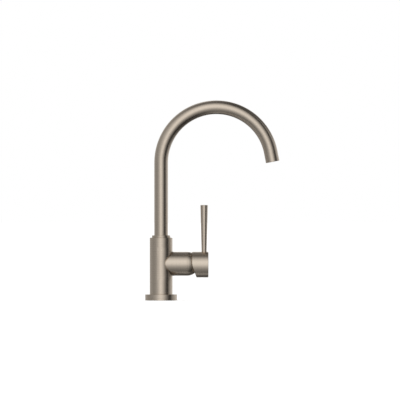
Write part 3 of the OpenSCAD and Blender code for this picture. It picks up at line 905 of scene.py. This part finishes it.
# ---- Collar nut ----
# Turned gland nut at the foot of the spout: its skirt screws into the body's top and
# holds the spout down, and its rim is the step seen below the tube.
collar_low, collar_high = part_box("collar_nut")
collar_r = collar_high.x
collar_top = collar_high.z
collar_bore_r = 12.3 * mm
skirt_r = 14.5 * mm
collar_edge = 0.4 * mm
collar_outline = filleted([
    (collar_low.z, skirt_r, foot_edge),
    (column_top, skirt_r, 0),
    (column_top, collar_r, bore_edge),
    (collar_top, collar_r, collar_edge),
    (collar_top, collar_bore_r, bore_edge),
    (collar_low.z, collar_bore_r, 0),
])
make_piece("brushed_collar_nut", turned(collar_outline, body_axis, ring_steps), "collar_nut",
           nickel)


# ---- Gooseneck ----
# One brass tube, bent round a former and brushed round: riser, bend and a short
# straight tail with a rounded lip. The brass stub at its foot swivels in the body.
tube_low, tube_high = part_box("spout_tube")
tube_r = tube_high.y
tube_wall = 1.2 * mm
bend_r = 96.5 * mm
tail_slant = 11
bend_turn = math.radians(180 - tail_slant)
tail_len = 17.5 * mm
lip_len = 1 * mm
lip_edge = 0.4 * mm
lip_inner_edge = 0.35 * mm
tube_foot = tube_low.z
bend_z = tube_high.z - tube_r - bend_r
riser_len = bend_z - tube_foot
bend_len = bend_r * bend_turn
tube_len = riser_len + bend_len + tail_len
bend_rings = 96


def gooseneck(along):
    """Middle of the tube at a length from its foot, and two directions across it."""
    turn = min(max((along - riser_len) / bend_r, 0), bend_turn)
    out = Vector((-math.cos(turn), 0, math.sin(turn)))
    onward = Vector((math.sin(turn), 0, math.cos(turn)))
    middle = Vector((bend_r, 0, bend_z)) + out * bend_r
    past = min(along - riser_len, 0) + max(along - riser_len - bend_len, 0)
    return middle + onward * past, north, out


bend_stations = [riser_len + bend_len * k / bend_rings for k in range(bend_rings + 1)]
tube_bore_r = tube_r - tube_wall
lip = filleted([
    (tube_len - lip_len, tube_r, 0),
    (tube_len, tube_r, lip_edge),
    (tube_len, tube_bore_r, lip_inner_edge),
    (tube_len - lip_len, tube_bore_r, 0),
])
tube_outline = ([Vector((0, tube_r))] + [Vector((s, tube_r)) for s in bend_stations] + lip
                + [Vector((s, tube_bore_r)) for s in reversed(bend_stations)]
                + [Vector((0, tube_bore_r))])
make_piece("brushed_spout_tube", turned(tube_outline, gooseneck), "spout_tube", nickel)
dress(brass, "spout_stub")


# ---- Aerator ----
# In the tube's mouth: a brass sleeve soldered into the tube, and the screwed-in plastic
# aerator with its washer, diffuser disc and steel screen.
mouth, _, _ = gooseneck(tube_len)
mouth_tilt = Vector((0, bend_turn, 0))
mouth_brass = turned_metal("brass_turned_at_mouth", brass_dark, brass_light,
                           brass_roughness, mouth, mouth_tilt)
mouth_steel = turned_metal("steel_woven_screen", steel_dark, steel_light,
                           steel_roughness, mouth, mouth_tilt)
dress(mouth_brass, "outlet_sleeve")
dress(mouth_steel, "aerator_screen")


# ---- Light tent, floor and camera ----
# A pale floor in a light tent whose walls change round the tap and with height. A dark
# flag hangs behind it on the right, a reflector lies low on the left, and a soft box
# hangs high on the left. All of this shows in the metal only.
tent_walls = [(-180, 1.0), (-150, 0.58), (-110, 0.43), (-82, 0.36), (-60, 0.39), (-36, 0.6),
              (-15, 1.04), (-4, 1.22), (6, 1.07), (15, 0.91), (36, 0.39), (46, 0.21),
              (57, 0.06), (66, 0.01), (73, 0.07), (82, 0.24), (96, 0.48), (133, 0.82),
              (180, 1.0)]
heights_in_front = [(-90, 0.95), (-79, 0.24), (-65, 0.22), (-44, 0.3), (-24, 0.5), (0, 0.93),
                    (24, 1.06), (44, 0.82), (54, 0.65), (66, 0.4), (77, 0.27), (90, 0.19)]
heights_behind = [(-90, 0.95), (-78, 0.33), (-64, 0.1), (-46, 0.06), (-32, 0.2), (0, 0.93),
                  (34, 0.85), (58, 0.5), (76, 0.3), (90, 0.19)]
flag_toward = Vector((0.45, 0.5, 0.74)).normalized()
flag_reach = (0.8, 0.92)
flag_shade = 0.8
reflector_toward = Vector((-0.66, 0.15, -0.74)).normalized()
reflector_reach = (0.78, 0.95)
reflector_glow = 0.25
softbox_toward = Vector((-0.62, -0.45, 0.64)).normalized()
softbox_reach = (0.78, 1.0)
softbox_glow = 0.13
front_fades = 0.25
plain_level = 0.8
floor_colour = (0.9, 0.9, 0.9, 1)
floor_glow = 0.4
floor_r = 40
lamp_place = Vector((-1.2, -1.6, 2.6))
lamp_size = 1.6
lamp_power = 10
frame_width = 698 * mm
camera_distance = 12
camera_x = 67.8 * mm
camera_z = 175.2 * mm
camera_reach = 200
sensor_width = 36
ramp_peak = 1.3


def brightness_ramp(tree, value, stops, span):
    """Ramp of brightness over an angle in degrees, from -span to span."""
    ramp = wire(tree, "ShaderNodeValToRGB", {0: value})
    elements = ramp.color_ramp.elements
    elements[0].position = 0
    elements[1].position = 1
    for angle, brightness in stops[1:-1]:
        elements.new((angle + span) / (2 * span))
    for element, (angle, brightness) in zip(elements, stops):
        element.color = (*[brightness / ramp_peak] * 3, 1)
    return calc(tree, "MULTIPLY", ramp.outputs["Color"], ramp_peak)


def card(tree, toward, place, reach):
    """Mask of a soft-edged card hung in one direction, from 0 outside to 1 inside."""
    facing = wire(tree, "ShaderNodeVectorMath", {0: toward, 1: place},
                  operation="DOT_PRODUCT").outputs["Value"]
    values = {"Value": facing, "From Min": reach[0], "From Max": reach[1]}
    return wire(tree, "ShaderNodeMapRange", values, interpolation_type="SMOOTHSTEP").outputs[0]


world = bpy.data.worlds.new("light_tent")
scene.world = world
world.use_nodes = True
world.cycles.sampling_method = "NONE"
tree = world.node_tree
toward = wire(tree, "ShaderNodeTexCoord", {}).outputs["Generated"]
x, y, z = wire(tree, "ShaderNodeSeparateXYZ", {0: toward}).outputs
azimuth = calc(tree, "ARCTAN2", x, calc(tree, "MULTIPLY", y, -1.0))
azimuth = calc(tree, "MULTIPLY_ADD", azimuth, 1 / math.tau, 0.5)
elevation = calc(tree, "MULTIPLY_ADD", calc(tree, "ARCSINE", z), 1 / math.pi, 0.5)
walls = brightness_ramp(tree, azimuth, tent_walls, 180)
behind = wire(tree, "ShaderNodeMapRange",
              {"Value": y, "From Min": -front_fades, "From Max": front_fades}).outputs[0]
heights = wire(tree, "ShaderNodeMix",
               {0: behind, 2: brightness_ramp(tree, elevation, heights_in_front, 90),
                3: brightness_ramp(tree, elevation, heights_behind, 90)}).outputs[0]
tent = calc(tree, "MULTIPLY", walls, heights)
flag = card(tree, toward, flag_toward, flag_reach)
tent = calc(tree, "MULTIPLY", tent, calc(tree, "MULTIPLY_ADD", flag, -flag_shade, 1.0))
reflector = card(tree, toward, reflector_toward, reflector_reach)
tent = calc(tree, "MULTIPLY_ADD", reflector, reflector_glow, tent)
softbox = card(tree, toward, softbox_toward, softbox_reach)
tent = calc(tree, "MULTIPLY_ADD", softbox, softbox_glow, tent)
rays = wire(tree, "ShaderNodeLightPath", {}).outputs
seen = calc(tree, "MAXIMUM", rays["Is Camera Ray"], rays["Is Transmission Ray"])
plain = calc(tree, "MULTIPLY_ADD", seen, 1 - plain_level, plain_level)
strength = wire(tree, "ShaderNodeMix", {0: rays["Is Glossy Ray"], 2: plain, 3: tent}).outputs[0]
tree.links.new(strength, tree.nodes["Background"].inputs["Strength"])
tree.nodes["Background"].inputs["Color"].default_value = (1, 1, 1, 1)

floor_mesh = bpy.data.meshes.new("pale_floor")
corners = [(-floor_r, -floor_r, 0), (floor_r, -floor_r, 0), (floor_r, floor_r, 0),
           (-floor_r, floor_r, 0)]
floor_mesh.from_pydata(corners, [], [(0, 1, 2, 3)])
floor = bpy.data.objects.new("pale_floor", floor_mesh)
scene.collection.objects.link(floor)
floor.visible_glossy = False
paint = bpy.data.materials.new("pale_floor_paint")
paint.use_nodes = True
tree = paint.node_tree
tree.nodes.remove(tree.nodes["Principled BSDF"])
diffuse = wire(tree, "ShaderNodeBsdfDiffuse", {"Color": floor_colour})
rays = wire(tree, "ShaderNodeLightPath", {}).outputs
glow = wire(tree, "ShaderNodeEmission",
            {"Strength": calc(tree, "MULTIPLY", rays["Is Camera Ray"], floor_glow)})
lit = wire(tree, "ShaderNodeAddShader", {0: diffuse.outputs[0], 1: glow.outputs[0]})
clear = wire(tree, "ShaderNodeBsdfTransparent", {})
under = wire(tree, "ShaderNodeNewGeometry", {}).outputs["Backfacing"]
sheet = wire(tree, "ShaderNodeMixShader", {0: under, 1: lit.outputs[0], 2: clear.outputs[0]})
tree.links.new(sheet.outputs[0], tree.nodes["Material Output"].inputs["Surface"])
floor_mesh.materials.append(paint)

lamp_data = bpy.data.lights.new("overhead_softbox", "AREA")
lamp_data.shape = "DISK"
lamp_data.size = lamp_size
lamp_data.energy = lamp_power
lamp = bpy.data.objects.new("overhead_softbox", lamp_data)
lamp.location = lamp_place
lamp.rotation_euler = (-lamp_place).to_track_quat("-Z", "Y").to_euler()
lamp.visible_glossy = False
scene.collection.objects.link(lamp)

camera_data = bpy.data.cameras.new("side_camera")
camera_data.sensor_width = sensor_width
camera_data.lens = sensor_width * camera_distance / frame_width
camera_data.clip_end = camera_reach
camera = bpy.data.objects.new("side_camera", camera_data)
camera.location = (camera_x, -camera_distance, camera_z)
camera.rotation_euler = (math.pi / 2, 0, 0)
scene.collection.objects.link(camera)
scene.camera = camera
scene.view_settings.view_transform = "Standard"
